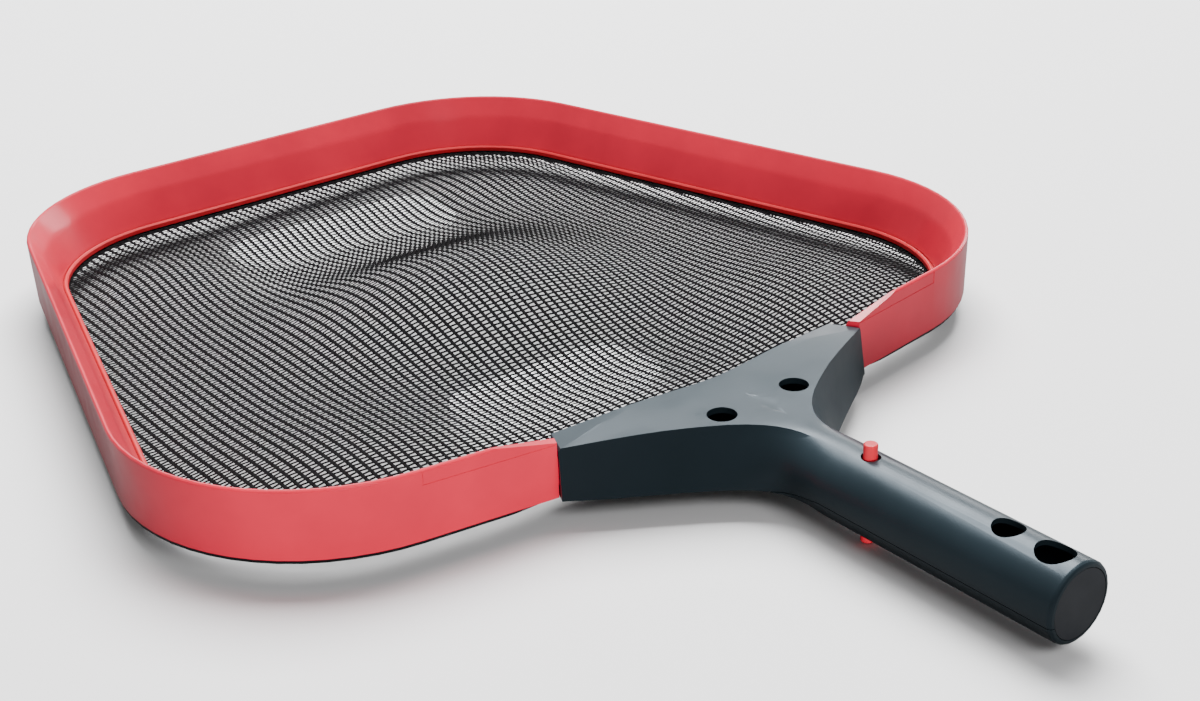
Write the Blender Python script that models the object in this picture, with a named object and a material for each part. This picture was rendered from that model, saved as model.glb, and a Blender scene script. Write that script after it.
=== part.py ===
"""A leaf skimmer net head: a five-sided rim, a fine net clamped in it, and a handle socket.

Frame: x runs across, +Y points to the leading edge, +Z is up, and the lowest pin tip is at z = 0.
All sizes below are in millimetres. Points are turned into metres where the meshes are made.
"""

import math

import bmesh
import bpy
import numpy as np

MM = 0.001

# ---- overall sizes ----
LEAD_Y = 257.5          # outer face of the leading edge
END_Y = -257.5          # outer face of the handle's end
LEAD_HALF = 132.2       # half width at the leading edge, to the sharp corner
WIDE_HALF = 211.9       # half width at the shoulders, to the sharp corner
WIDE_Y = -72.8
NECK_HALF = 74.2        # where the rim reaches the yoke
NECK_Y = -92.8
LEAD_R = 78.3
WIDE_R = 80.8
RING_HALF = 90.0        # the closed rings cross behind the yoke from here
RING_Y = -89.8
RING_R = 40.0

# ---- heights ----
PIN_REACH = 18.9        # pin tip from the tube's axis
AXIS_Z = PIN_REACH
FOOT_Z = 11.0           # foot of the rim's outer wall
RIM_H = 27.0
PLATE_H = 22.0          # yoke plate above the foot
PLATE_Z = FOOT_Z + PLATE_H

# ---- fits ----
GAP = 0.3               # between pieces that touch
FIT = 0.15              # half of that, on each side of a parting line

# ---- rim section ----
WALL = 2.2
DRAFT = 0.6
LIP = 1.8
CREASE_IN = 6.8
CREASE_H = 17.4
SKIN_IN = 12.0
SKIN_H = 2.6
FACET_X = 98.8          # the lip starts to fall here
SEAM_X = 123.4
SEAM_H = 21.4
SEAM_W = 0.5
SEAM_D = 0.35

# ---- rings that hold the net ----
CLAMP_OUT = 9.0
BEAD_OUT = SKIN_IN + 0.4
BEAD_IN = 14.2
CLAMP_T = 1.3
BEAD_H = 2.4
CLAMP_Z = FOOT_Z + 0.9
BASE_OUT = 0.9
BASE_T = 1.3
BASE_TOP = FOOT_Z - GAP
RING_BOSS_IN = 5.4
RING_BOSS_R = 3.1
RING_BOSS_H = 12.0

# ---- net ----
NET_T = 0.36
NET_Z = FOOT_Z + 0.3
HEM_OUT = 9.4
HEM_IN = 13.4
HEM_T = 0.6
NET_CELL_X = 23.0
NET_CELL_Y = 21.0
STRAND_W = 1.6
NET_START_Y = -92.5      # first strand across, hidden under the hem
FADE_IN = 9.0           # the net lies flat this far inside the rings
FADE_LONG = 26.0
PATCH_T = 0.3
PATCH_DROP = 0.6
FRONT_PATCH_Y = 180.0
FRONT_PATCH_W = 114.0
FRONT_PATCH_L = 47.0
FRONT_PATCH_R = 18.0
REAR_PATCH_X = -18.0
REAR_PATCH_Y = -16.5
REAR_PATCH_W = 90.0
REAR_PATCH_L = 42.0
REAR_PATCH_R = 16.0

# ---- handle tube ----
TUBE_R = 14.1
TUBE_WALL = 1.9
END_ROUND = 1.7
PART_DROP = 3.7         # parting line of the two shells, below the tube's axis
YOKE_WALL = 2.4
PIN_Y = -170.0
PIN_R = 2.5
PIN_HOLE_R = 3.5
END_HOLES = ((-228.7, 5.5), (-246.8, 6.5))
PLUG_T = 3.2
PLUG_LEG = 8.0

# ---- yoke ----
ARM_END = 73.6          # the arm's end at its front corner
ARM_FRONT_Y = -94.2
ARM_BEVEL = 0.9
ARM_FACET_X = 36.0
ARM_FACET_DROP = 1.2
PLATE_FLAT_X = 20.0     # the plate falls outwards from here
PLATE_FALL = 2.2
REAR_MID_Y = -91.2
REAR_END_Y = -81.6
REAR_END_X = 68.0
BIG_HOLE_X = 17.3
BIG_HOLE_Y = -114.7
BIG_HOLE_R = 5.5
TONGUE_T = 10.0
TONGUE_W = 7.4
TONGUE_H = 5.0
TONGUE_IN = 1.1         # how far the tongue stands inside the rim's outer face
TONGUE_TIP_X = 46.0
TONGUE_TIP_Y = -98.4
MOUTH_X = 65.5          # inner end of the socket mouth
ARM_SCREWS = ((64.5, -91.3), (51.5, -94.5))
ARM_BOSS_R = 3.6

# ---- clip ----
RIB_Y = -107.0
RIB_R = 2.0
RIB_HALF = 4.7          # clear half width between the two hangers that carry the rib
HANGER_T = 2.0
LEAF_T = 0.9
LEAF_HALF = 4.0
PAD_LOW = 8.7
PIN_EASE = 0.3          # the pin stands this far off its hole's middle, for its arc
FLANGE_R = 4.4
FLANGE_T = 1.1

# ---- screws ----
SCREW_R = 1.5
SCREW_HEAD_R = 2.8
SCREW_HEAD_T = 1.8
RING_SCREW_R = 1.25
RING_HEAD_R = 2.3
RING_HEAD_T = 1.1
COVER_T = 2.0
COVER_LIFT = 0.4

COVER_Y = (-93.2, -95.0, -96.6, -99.0, -103.3, -108.0, -113.0, -118.1, -123.5,
           -129.0, -135.0, -140.0, -145.0)

# ---- plan of the yoke: y against half width, at the plate and at the foot ----
TOP_PLAN = (
    (-92.9, 73.6), (-96.5, 66.8), (-99.8, 60.0), (-105.1, 49.4), (-108.5, 42.6),
    (-112.8, 35.0), (-116.2, 29.6), (-120.0, 23.3), (-124.9, 17.7), (-130.5, 12.9),
    (-136.2, 9.2), (-142.4, 6.4), (-150.0, 4.6), (-159.0, 4.2),
)
FOOT_PLAN = (
    (-94.6, 75.0), (-103.3, 63.6), (-110.5, 51.8), (-118.1, 40.0), (-122.2, 34.4),
    (-126.8, 29.1), (-131.9, 24.4), (-136.9, 19.9), (-142.5, 16.2), (-149.7, 13.3),
    (-155.0, 12.1), (-159.0, 11.7),
)

# ---- how the net lies, each fold mirrored across x = 0 unless it stands on it:
# x, y, spread across, spread along, turn in degrees, height
FOLDS = (
    (0.0, -50.0, 56.0, 30.0, 0.0, 20.3),
    (0.0, 177.0, 30.0, 16.0, 0.0, -6.5),
    (0.0, -44.0, 71.0, 46.0, 0.0, -24.6),
    (75.0, 191.0, 35.0, 24.0, -24.0, 7.6),
    (105.0, -22.0, 39.0, 34.0, -5.0, 10.6),
    (29.0, 85.0, 34.0, 53.0, -11.0, 13.6),
    (9.0, 133.0, 26.0, 70.0, 75.0, -4.5),
    (51.0, 186.0, 19.0, 31.0, -21.0, -6.8),
)


def clear_scene():
    for obj in list(bpy.data.objects):
        bpy.data.objects.remove(obj, do_unlink=True)


def material(name, color, rough, metal=0.0):
    mat = bpy.data.materials.new(name)
    mat.use_nodes = True
    shader = mat.node_tree.nodes["Principled BSDF"]
    shader.inputs["Base Color"].default_value = (*color, 1.0)
    shader.inputs["Roughness"].default_value = rough
    shader.inputs["Metallic"].default_value = metal
    mat.diffuse_color = (*color, 1.0)
    return mat


def make(name, points, faces, mat=None):
    """A mesh object from points in millimetres, with its faces turned outwards."""
    mesh = bpy.data.meshes.new(name)
    mesh.from_pydata([tuple(c * MM for c in p) for p in points], [], faces)
    bm = bmesh.new()
    bm.from_mesh(mesh)
    bmesh.ops.recalc_face_normals(bm, faces=bm.faces)
    if bm.calc_volume(signed=True) < 0:
        bmesh.ops.reverse_faces(bm, faces=bm.faces)
    bm.to_mesh(mesh)
    bm.free()
    mesh.update()
    obj = bpy.data.objects.new(name, mesh)
    bpy.context.scene.collection.objects.link(obj)
    if mat:
        obj.data.materials.append(mat)
    return obj


def cutter(obj):
    obj.hide_render = True
    obj.display_type = "WIRE"
    return obj


def apply_boolean(obj, other, operation):
    """Applies one exact Boolean to the mesh and removes the tool object."""
    mod = obj.modifiers.new("bool", "BOOLEAN")
    mod.operation = operation
    mod.solver = "EXACT"
    mod.object = other
    graph = bpy.context.evaluated_depsgraph_get()
    graph.update()
    mesh = bpy.data.meshes.new_from_object(obj.evaluated_get(graph))
    old = obj.data
    obj.modifiers.clear()
    obj.data = mesh
    mesh.name = obj.name
    bpy.data.meshes.remove(old)
    bpy.data.objects.remove(other, do_unlink=True)
    return obj


def cut(obj, other):
    return apply_boolean(obj, cutter(other), "DIFFERENCE")


def join(obj, other):
    return apply_boolean(obj, cutter(other), "UNION")


def keep(obj, other):
    return apply_boolean(obj, cutter(other), "INTERSECT")


def prism(name, outline, low, high, axis="z"):
    """A straight solid on a flat outline. axis x takes (y, z) points, y takes (x, z)."""
    n = len(outline)

    def put(p, h):
        if axis == "z":
            return (p[0], p[1], h)
        if axis == "x":
            return (h, p[0], p[1])
        return (p[0], h, p[1])

    points = [put(p, low) for p in outline] + [put(p, high) for p in outline]
    faces = [list(range(n))[::-1], list(range(n, 2 * n))]
    faces += [[i, (i + 1) % n, n + (i + 1) % n, n + i] for i in range(n)]
    return make(name, points, faces)


def box(name, low, high):
    outline = [(low[0], low[1]), (high[0], low[1]), (high[0], high[1]), (low[0], high[1])]
    return prism(name, outline, low[2], high[2])


def circle(r, n=24, at=(0.0, 0.0), start=0.0, sweep=360.0):
    full = sweep == 360.0
    count = n if full else n + 1
    out = []
    for i in range(count):
        a = math.radians(start + sweep * i / n)
        out.append((at[0] + r * math.cos(a), at[1] + r * math.sin(a)))
    return out


def rod(name, at, r, low, high, axis="z", n=24):
    return prism(name, circle(r, n, at), low, high, axis)


def turned(name, at, profile, n=24, mat=None):
    """A closed solid of revolution about the vertical through at; profile is (r, z) upwards."""
    points = []
    faces = []
    for r, z in profile:
        points += [(at[0] + r * math.cos(2 * math.pi * i / n),
                    at[1] + r * math.sin(2 * math.pi * i / n), z) for i in range(n)]
    for k in range(len(profile) - 1):
        a, b = k * n, (k + 1) * n
        faces += [[a + i, a + (i + 1) % n, b + (i + 1) % n, b + i] for i in range(n)]
    faces.append(list(range(n))[::-1])
    faces.append([(len(profile) - 1) * n + i for i in range(n)])
    return make(name, points, faces, mat)


def rounded_path(corners, radii, closed, step=6.0):
    """Points and inward normals along straight runs joined by arcs, clockwise from above."""
    n = len(corners)
    pts = [np.array(c, float) for c in corners]
    out = []
    for i in range(n):
        if not closed and i in (0, n - 1):
            out.append(pts[i])
            continue
        a, b, c = pts[i - 1], pts[i], pts[(i + 1) % n]
        u = (a - b) / np.linalg.norm(a - b)
        v = (c - b) / np.linalg.norm(c - b)
        half = math.acos(float(np.clip(u @ v, -1, 1))) / 2
        reach = radii[i] / math.tan(half)
        p0, p1 = b + u * reach, b + v * reach
        mid = (u + v) / np.linalg.norm(u + v)
        centre = b + mid * radii[i] / math.sin(half)
        a0 = math.atan2(p0[1] - centre[1], p0[0] - centre[0])
        a1 = math.atan2(p1[1] - centre[1], p1[0] - centre[0])
        turn = (a1 - a0 + math.pi) % (2 * math.pi) - math.pi
        count = max(2, round(abs(math.degrees(turn)) / step))
        for k in range(count + 1):
            t = a0 + turn * k / count
            out.append(centre + radii[i] * np.array([math.cos(t), math.sin(t)]))
    line = np.array(out)
    m = len(line)
    normals = []
    for i in range(m):
        before = line[i] - line[i - 1] if closed or i > 0 else line[1] - line[0]
        after = line[(i + 1) % m] - line[i] if closed or i < m - 1 else before
        before = before / np.linalg.norm(before)
        after = after / np.linalg.norm(after)
        t = before + after
        t = t / np.linalg.norm(t)
        scale = 1.0 / max(0.5, float(t @ after))
        normals.append(np.array([t[1], -t[0]]) * scale)
    return line, np.array(normals)


def sweep(name, path, section, closed, mat=None):
    """Carries a closed section of (inset, z) points along a path."""
    line, normals = path
    m, n = len(line), len(section)
    points = []
    for p, q in zip(line, normals):
        points += [(p[0] + q[0] * s, p[1] + q[1] * s, z) for s, z in section]
    faces = []
    for i in range(m if closed else m - 1):
        a, b = i * n, ((i + 1) % m) * n
        faces += [[a + k, a + (k + 1) % n, b + (k + 1) % n, b + k] for k in range(n)]
    if not closed:
        faces.append(list(range(n)))
        faces.append([(m - 1) * n + k for k in range(n)][::-1])
    return make(name, points, faces, mat)


def horseshoe():
    corners = [(-NECK_HALF + 6.0, NECK_Y - 0.8), (-WIDE_HALF, WIDE_Y), (-LEAD_HALF, LEAD_Y),
               (LEAD_HALF, LEAD_Y), (WIDE_HALF, WIDE_Y), (NECK_HALF - 6.0, NECK_Y - 0.8)]
    return rounded_path(corners, [0, WIDE_R, LEAD_R, LEAD_R, WIDE_R, 0], False)


def ring_path(step=6.0):
    corners = [(-RING_HALF, RING_Y), (-WIDE_HALF, WIDE_Y), (-LEAD_HALF, LEAD_Y),
               (LEAD_HALF, LEAD_Y), (WIDE_HALF, WIDE_Y), (RING_HALF, RING_Y)]
    return rounded_path(corners, [RING_R, WIDE_R, LEAD_R, LEAD_R, WIDE_R, RING_R], True, step)


def inset_outline(inset, step=6.0):
    line, normals = ring_path(step)
    return [tuple(p + q * inset) for p, q in zip(line, normals)]


def wall_frame(side):
    """A point on the straight outer wall next to the yoke, its direction and inward normal."""
    a = np.array([side * NECK_HALF, NECK_Y])
    b = np.array([side * WIDE_HALF, WIDE_Y])
    d = (b - a) / np.linalg.norm(b - a)
    inward = np.array([-d[1], d[0]]) if side > 0 else np.array([d[1], -d[0]])
    return a, d, inward


def wall_box(name, side, x0, x1, in0, in1, z0, z1):
    """A box laid along the straight end of the rim, between two distances across."""
    outline = [wall_point(side, x, s) for x, s in ((x0, in0), (x1, in0), (x1, in1), (x0, in1))]
    return prism(name, outline, z0, z1)


def wall_point(side, x, inset):
    """The point of the rim's outer face at this x, moved inwards."""
    a, d, inward = wall_frame(side)
    return tuple(a + d * ((side * x - a[0]) / d[0]) + inward * inset)


def place_on_rim(fraction_points, inset):
    """Points at given distances along the ring path, counted from the middle of the lead."""
    line, normals = ring_path()
    gaps = np.linalg.norm(np.roll(line, -1, axis=0) - line, axis=1)
    along = np.concatenate([[0], np.cumsum(gaps)])
    total = along[-1]
    start = None
    for i in range(len(line)):
        j = (i + 1) % len(line)
        if line[i][0] < 0 <= line[j][0] and line[i][1] > 0:
            start = along[i] + gaps[i] * (-line[i][0]) / (line[j][0] - line[i][0])
    out = []
    for f in fraction_points:
        s = (start + f * total) % total
        i = int(np.searchsorted(along, s, side="right")) - 1
        j = (i + 1) % len(line)
        t = (s - along[i]) / gaps[i]
        p = line[i] * (1 - t) + line[j] * t
        q = normals[i] * (1 - t) + normals[j] * t
        out.append(tuple(p + q * inset))
    return out


RING_SCREW_AT = (0.0, 0.105, 0.215, 0.325, 0.4, 0.6, 0.675, 0.785, 0.895)


def wave(x, y):
    """Height of the net over its plane, faded out towards the rings."""
    h = 0.0
    for wx, wy, sx, sy, turn, top in FOLDS:
        for side in (1, -1) if wx else (1,):
            c, s = math.cos(math.radians(turn)), side * math.sin(math.radians(turn))
            u = ((x - side * wx) * c + (y - wy) * s) / sx
            v = (-(x - side * wx) * s + (y - wy) * c) / sy
            h += top * math.exp(-0.5 * (u * u + v * v))
    t = min(1.0, max(0.0, (edge_distance(x, y) - FADE_IN) / FADE_LONG))
    return h * t * t * (3 - 2 * t)


EDGES = []


def edge_distance(x, y):
    """Distance inwards from the bead of the clamp ring, negative outside it."""
    if not EDGES:
        outline = np.array(inset_outline(BEAD_IN))
        EDGES.append(outline)
        EDGES.append(np.roll(outline, -1, axis=0))
    a, b = EDGES
    p = np.array([x, y])
    ab = b - a
    t = np.clip(((p - a) * ab).sum(1) / (ab * ab).sum(1), 0, 1)
    d = a + ab * t[:, None] - p
    i = int((d * d).sum(1).argmin())
    cross = ab[i][0] * (y - a[i][1]) - ab[i][1] * (x - a[i][0])
    dist = math.sqrt(float((d[i] ** 2).sum()))
    return dist if cross < 0 else -dist


# ------------------------------------------------------------------ rim


def rim_frame(mat):
    z = FOOT_Z
    section = [
        (DRAFT, z), (0.1, z + RIM_H - 1.0), (0.3, z + RIM_H - 0.4),
        (0.8, z + RIM_H), (LIP - 0.5, z + RIM_H), (LIP, z + RIM_H - 0.5),
        (CREASE_IN - 0.9, z + CREASE_H + 1.5), (CREASE_IN, z + CREASE_H - 0.3),
        (CREASE_IN + 0.5, z + CREASE_H - 1.8),
        (SKIN_IN - 0.3, z + SKIN_H + 1.6), (SKIN_IN, z + SKIN_H + 0.5),
        (SKIN_IN, z + SKIN_H), (SKIN_IN - WALL, z + SKIN_H),
        (CREASE_IN - 1.9, z + CREASE_H - 3.4), (WALL + 0.9, z + CREASE_H + 0.8),
        (WALL + 0.5, z),
    ]
    rim = sweep("rim_frame", horseshoe(), section, False, mat)
    for side in (-1, 1):
        join(rim, wall_box("block", side, ARM_END - 3.0, ARM_END + 9.0, 1.2, SKIN_IN - 1.2,
                           z + SKIN_H + 0.2, z + 13.0))
    for p in place_on_rim(RING_SCREW_AT, RING_BOSS_IN):
        boss = rod("boss", p, RING_BOSS_R, z + 0.05, z + RING_BOSS_H, n=12)
        cut(boss, rod("pilot", p, RING_SCREW_R + 0.1, z - 1, z + 9.5, n=12))
        join(rim, boss)
    cut(rim, between_ends("neck", GAP, z - 5, z + 40))
    for side in (-1, 1):
        # the lip falls to the yoke's plate in one flat facet
        slope = [(side * (FACET_X + 30), z + RIM_H + 6.6), (side * (ARM_END - 5), z + PLATE_H - 1.1),
                 (side * (ARM_END - 5), z + 60), (side * (FACET_X + 30), z + 60)]
        cut(rim, prism("facet", slope, -125, -60, "y"))
        cut(rim, wall_box("seam_long", side, ARM_END - 2, SEAM_X, -1.0, 0.1 + SEAM_D,
                          z + SEAM_H - SEAM_W / 2, z + SEAM_H + SEAM_W / 2))
        cut(rim, wall_box("seam_short", side, SEAM_X - SEAM_W - 0.03, SEAM_X - 0.03, -1.4,
                          0.05 + SEAM_D, z + SEAM_H - 0.1, z + RIM_H + 3))
        join(rim, prism("tongue", tongue_outline(side, TONGUE_TIP_X, 0.0), z + TONGUE_H,
                        z + TONGUE_H + TONGUE_T))
        for x, y in ARM_SCREWS:
            cut(rim, rod("pilot", (side * x, y), SCREW_R + 0.12, z, z + 20, n=12))
    return rim


def tongue_outline(side, tip_x, clear):
    """Plan of the rim's tongue as far as tip_x, grown by a clearance."""
    outline = []
    for inset, y_tip, grow in ((TONGUE_IN, TONGUE_TIP_Y, -clear),
                               (TONGUE_IN + TONGUE_W, TONGUE_TIP_Y + TONGUE_W, clear)):
        root = wall_point(side, ARM_END + 6.0, inset + grow)
        bend = wall_point(side, ARM_END - 1.0, inset + grow)
        t = (ARM_END - 1.0 - tip_x) / (ARM_END - 1.0 - TONGUE_TIP_X)
        tip = (side * tip_x, bend[1] + (y_tip + grow - bend[1]) * t)
        line = [root, bend, tip]
        outline += line if grow <= 0.0 and not outline else line[::-1]
    return outline


def arm_line(y, out):
    """Half width between the slanted ends of the arms, moved outwards."""
    slope = (ARM_END - REAR_END_X) / (REAR_END_Y - ARM_FRONT_Y)
    return ARM_END + (ARM_FRONT_Y - y) * slope + out * math.sqrt(1 + slope * slope)


def between_ends(name, out, low, high):
    """Everything between the two slanted ends of the arms."""
    rear, front = REAR_END_Y + 25.0, END_Y - 20.0
    outline = [(-arm_line(rear, out), rear), (arm_line(rear, out), rear),
               (arm_line(front, out), front), (-arm_line(front, out), front)]
    return prism(name, outline, low, high)


def net_clamp_ring(mat):
    z = CLAMP_Z
    section = [
        (CLAMP_OUT, z), (CLAMP_OUT, z + CLAMP_T), (BEAD_OUT - 0.3, z + CLAMP_T),
        (BEAD_OUT, z + CLAMP_T + 0.3), (BEAD_OUT, z + BEAD_H - 0.4),
        (BEAD_OUT + 0.5, z + BEAD_H), (BEAD_IN - 0.6, z + BEAD_H),
        (BEAD_IN, z + BEAD_H - 0.6), (BEAD_IN, z),
    ]
    return sweep("net_clamp_ring", ring_path(), section, True, mat)


def net_base_ring(mat):
    z = BASE_TOP
    section = [(BASE_OUT, z - BASE_T), (BASE_OUT, z), (BEAD_IN, z), (BEAD_IN, z - BASE_T)]
    ring = sweep("net_base_ring", ring_path(), section, True, mat)
    for p in place_on_rim(RING_SCREW_AT, RING_BOSS_IN):
        cut(ring, rod("hole", p, RING_SCREW_R + 0.25, z - 5, z + 5, n=12))
    return ring


# ------------------------------------------------------------------ net


def strand_edges(first, pitch, count):
    out = []
    for i in range(count):
        out += [first + i * pitch - STRAND_W / 2, first + i * pitch + STRAND_W / 2]
    return out


def lattice(name, gaps, thick, drop=0.0):
    """Crossing strands as one sheet, with square gaps between them or with none."""
    xs = strand_edges(-NET_CELL_X * 8, NET_CELL_X, 17)
    ys = strand_edges(NET_START_Y, NET_CELL_Y, 18)
    nx, ny = len(xs), len(ys)

    def solid(i, j):
        if i < 0 or j < 0 or i >= nx - 1 or j >= ny - 1:
            return False
        return not gaps or i % 2 == 0 or j % 2 == 0

    points = []
    index = {}

    def at(i, j, top):
        key = (i, j, top)
        if key not in index:
            index[key] = len(points)
            h = NET_Z - drop + wave(xs[i], ys[j]) + (thick / 2 if top else -thick / 2)
            points.append((xs[i], ys[j], h))
        return index[key]

    faces = []
    for i in range(nx - 1):
        for j in range(ny - 1):
            if not solid(i, j):
                continue
            faces.append([at(i, j, 1), at(i + 1, j, 1), at(i + 1, j + 1, 1), at(i, j + 1, 1)])
            faces.append([at(i, j, 0), at(i, j + 1, 0), at(i + 1, j + 1, 0), at(i + 1, j, 0)])
            if not solid(i - 1, j):
                faces.append([at(i, j, 0), at(i, j, 1), at(i, j + 1, 1), at(i, j + 1, 0)])
            if not solid(i + 1, j):
                faces.append([at(i + 1, j, 0), at(i + 1, j + 1, 0), at(i + 1, j + 1, 1),
                              at(i + 1, j, 1)])
            if not solid(i, j - 1):
                faces.append([at(i, j, 0), at(i + 1, j, 0), at(i + 1, j, 1), at(i, j, 1)])
            if not solid(i, j + 1):
                faces.append([at(i, j + 1, 0), at(i, j + 1, 1), at(i + 1, j + 1, 1),
                              at(i + 1, j + 1, 0)])
    return make(name, points, faces)


def net(mat):
    sheet = lattice("net", True, NET_T)
    middle = (HEM_OUT + HEM_IN) / 2
    keep(sheet, prism("trim", inset_outline(middle), NET_Z - 20, NET_Z + 20))
    t = HEM_T / 2
    section = [(HEM_OUT, NET_Z - t), (HEM_OUT, NET_Z + t), (HEM_IN, NET_Z + t),
               (HEM_IN, NET_Z - t)]
    hem = sweep("hem", ring_path(), section, True)
    join(sheet, hem)
    sheet.data.materials.clear()
    sheet.data.materials.append(mat)
    return sheet


def patch(name, cx, cy, wide, long, radius, mat):
    """A thin film with round corners that follows the net from below."""
    outline = []
    for qx, qy, start in ((1, 1, 0), (-1, 1, 90), (-1, -1, 180), (1, -1, 270)):
        at = (cx + qx * (wide / 2 - radius), cy + qy * (long / 2 - radius))
        outline += circle(radius, 5, at, start, 90.0)
    film = lattice(name, False, PATCH_T, PATCH_DROP)
    keep(film, prism("trim", outline, NET_Z - 30, NET_Z + 40))
    film.data.materials.clear()
    film.data.materials.append(mat)
    return film


# ------------------------------------------------------------------ yoke and handle


def smooth(t):
    t = min(1.0, max(0.0, t))
    return t * t * (3 - 2 * t)


def plan(table, y):
    ys = [-p[0] for p in table]
    ws = [p[1] for p in table]
    if -y < ys[0]:
        return ws[0] + (ys[0] + y) * 2.2
    return float(np.interp(-y, ys, ws))


def tube_section(radius, counts=(4, 8, 3)):
    """The right half of a circle from its bottom to its top, split as the yoke's section is."""
    low, side, top = counts
    foot = math.asin(-(AXIS_Z - FOOT_Z) / TUBE_R)
    crown = math.acos(4.2 / TUBE_R)
    out = []
    for i in range(low):
        a = -math.pi / 2 + (foot + math.pi / 2) * i / low
        out.append((radius * math.cos(a), AXIS_Z + radius * math.sin(a)))
    for i in range(side):
        a = foot + (crown - foot) * i / side
        out.append((radius * math.cos(a), AXIS_Z + radius * math.sin(a)))
    for i in range(top + 1):
        a = crown + (math.pi / 2 - crown) * i / top
        out.append((radius * math.cos(a), AXIS_Z + radius * math.sin(a)))
    return out


def plate_fall(x):
    """How much lower the plate is at this distance from the middle."""
    k = max(0.0, abs(x) - PLATE_FLAT_X) / (ARM_END - PLATE_FLAT_X)
    return PLATE_FALL * k * k


def arm_boss_top(x):
    """Height of a boss that ends inside the plate of the arm, where the plate is lowest over it."""
    return PLATE_Z - plate_fall(abs(x) + ARM_BOSS_R) - YOKE_WALL + 1.0


def yoke_section(y, inset, counts=(4, 8, 3)):
    """The right half of the section at y, moved inwards by inset where it is the yoke's."""
    low, side, top = counts
    t = smooth((-118.0 - y) / 41.0)
    wide_foot = max(1.5, plan(FOOT_PLAN, y) - inset * 1.15)
    wide_top = max(1.0, plan(TOP_PLAN, y) - inset * 1.25)
    low_z = FOOT_Z + (inset if inset else 0.0)
    edge_z = PLATE_Z - inset - plate_fall(wide_top)
    flat = []
    for i in range(low):
        flat.append((wide_foot * i / low, low_z))
    for i in range(side):
        k = i / side
        flat.append((wide_foot + (wide_top - wide_foot) * k, low_z + (edge_z - low_z) * k))
    for i in range(top + 1):
        x = wide_top * (1 - i / top)
        flat.append((x, PLATE_Z - inset - plate_fall(x)))
    radius = TUBE_R - (TUBE_WALL if inset else 0.0)
    tube = tube_section(radius, counts)
    keel = smooth((-134.0 - y) / 25.0)
    out = []
    for i, (f, c) in enumerate(zip(flat, tube)):
        x = f[0] * (1 - t) + c[0] * t
        z = f[1] * (1 - t) + c[1] * t
        if i < low:
            z = f[1] * (1 - keel) + c[1] * keel
        out.append((x, z))
    return out


def loft(name, stations, mat=None):
    """Joins half sections into one closed body, mirrored about x = 0."""
    points = []
    faces = []
    n = None
    for y, half in stations:
        full = list(half) + [(-x, z) for x, z in half[-2:0:-1]]
        n = len(full)
        points += [(x, y, z) for x, z in full]
    m = len(stations)
    for i in range(m - 1):
        a, b = i * n, (i + 1) * n
        faces += [[a + k, a + (k + 1) % n, b + (k + 1) % n, b + k] for k in range(n)]
    faces.append(list(range(n)))
    faces.append([(m - 1) * n + k for k in range(n)][::-1])
    return make(name, points, faces, mat)


def scaled(section, radius):
    k = radius / TUBE_R
    return [(x * k, AXIS_Z + (z - AXIS_Z) * k) for x, z in section]


YOKE_Y = (-76.0, -84.0, -92.0, -96.4, -101.0, -105.5, -110.0, -114.0, -118.0, -122.0,
          -126.0, -130.0, -134.0, -138.0, -142.0, -146.0, -150.0, -154.5, -159.0)


def outer_body(name):
    stations = []
    for a, dy in ((90, 0.0), (65, 0.3), (40, 0.9), (15, 1.4)):
        r = TUBE_R - END_ROUND + END_ROUND * math.cos(math.radians(a))
        y = END_Y + END_ROUND * (1 - math.sin(math.radians(a)))
        stations.append((y, scaled(tube_section(TUBE_R), r)))
    stations.append((END_Y + END_ROUND, tube_section(TUBE_R)))
    for y in YOKE_Y[::-1]:
        stations.append((y, yoke_section(y, 0.0)))
    return loft(name, stations)


def cavity(name):
    stations = [(END_Y - 5.0, tube_section(TUBE_R - TUBE_WALL))]
    for y in YOKE_Y[::-1]:
        if y < -92.0:
            stations.append((y, yoke_section(y, YOKE_WALL)))
    stations.append((-93.0, yoke_section(-93.0, YOKE_WALL)))
    stations.append((-70.0, yoke_section(-84.0, YOKE_WALL)))
    return loft(name, stations)


def rear_edge(x):
    k = min(1.0, abs(x) / REAR_END_X)
    return REAR_MID_Y + (REAR_END_Y - REAR_MID_Y) * (k ** 1.25)


def rear_prism(name, inset):
    """The space behind the yoke: a shallow arch across its rear edge."""
    edge = []
    for i in range(13):
        x = -REAR_END_X + 2 * REAR_END_X * i / 12
        edge.append((x, rear_edge(x) - inset))
    outline = [(-110, edge[0][1])] + edge + [(110, edge[-1][1]), (110, -40), (-110, -40)]
    return prism(name, outline, FOOT_Z - 30, FOOT_Z + 60)


def below_parting(name, lift):
    """Everything under the line where the two shells of the handle meet."""
    z = AXIS_Z - PART_DROP + lift
    outline = [(END_Y - 10, z), (-159.0, z), (-137.0, FOOT_Z + lift), (-60.0, FOOT_Z + lift),
               (-60.0, -20.0), (END_Y - 10, -20.0)]
    return prism(name, outline, -100, 100, "x")


def arm_ends(obj):
    """Cuts the arms off along their slanted ends, with a small bevel above."""
    keep(obj, between_ends("ends", 0.0, -40, 90))
    for side in (-1, 1):
        points = []
        for y in (REAR_END_Y + 20.0, ARM_FRONT_Y - 20.0):
            x = arm_line(y, 0.0)
            points += [(side * (x - ARM_BEVEL), y, PLATE_Z - PLATE_FALL + 0.1),
                       (side * (x + 20), y, PLATE_Z - PLATE_FALL + 0.1 - (ARM_BEVEL + 20) * 1.4),
                       (side * (x + 20), y, PLATE_Z + 20), (side * (x - ARM_BEVEL), y, PLATE_Z + 20)]
        faces = [[0, 1, 2, 3], [4, 5, 6, 7]] + [[i, (i + 1) % 4, 4 + (i + 1) % 4, 4 + i]
                                                for i in range(4)]
        cut(obj, make("bevel", points, faces))


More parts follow.
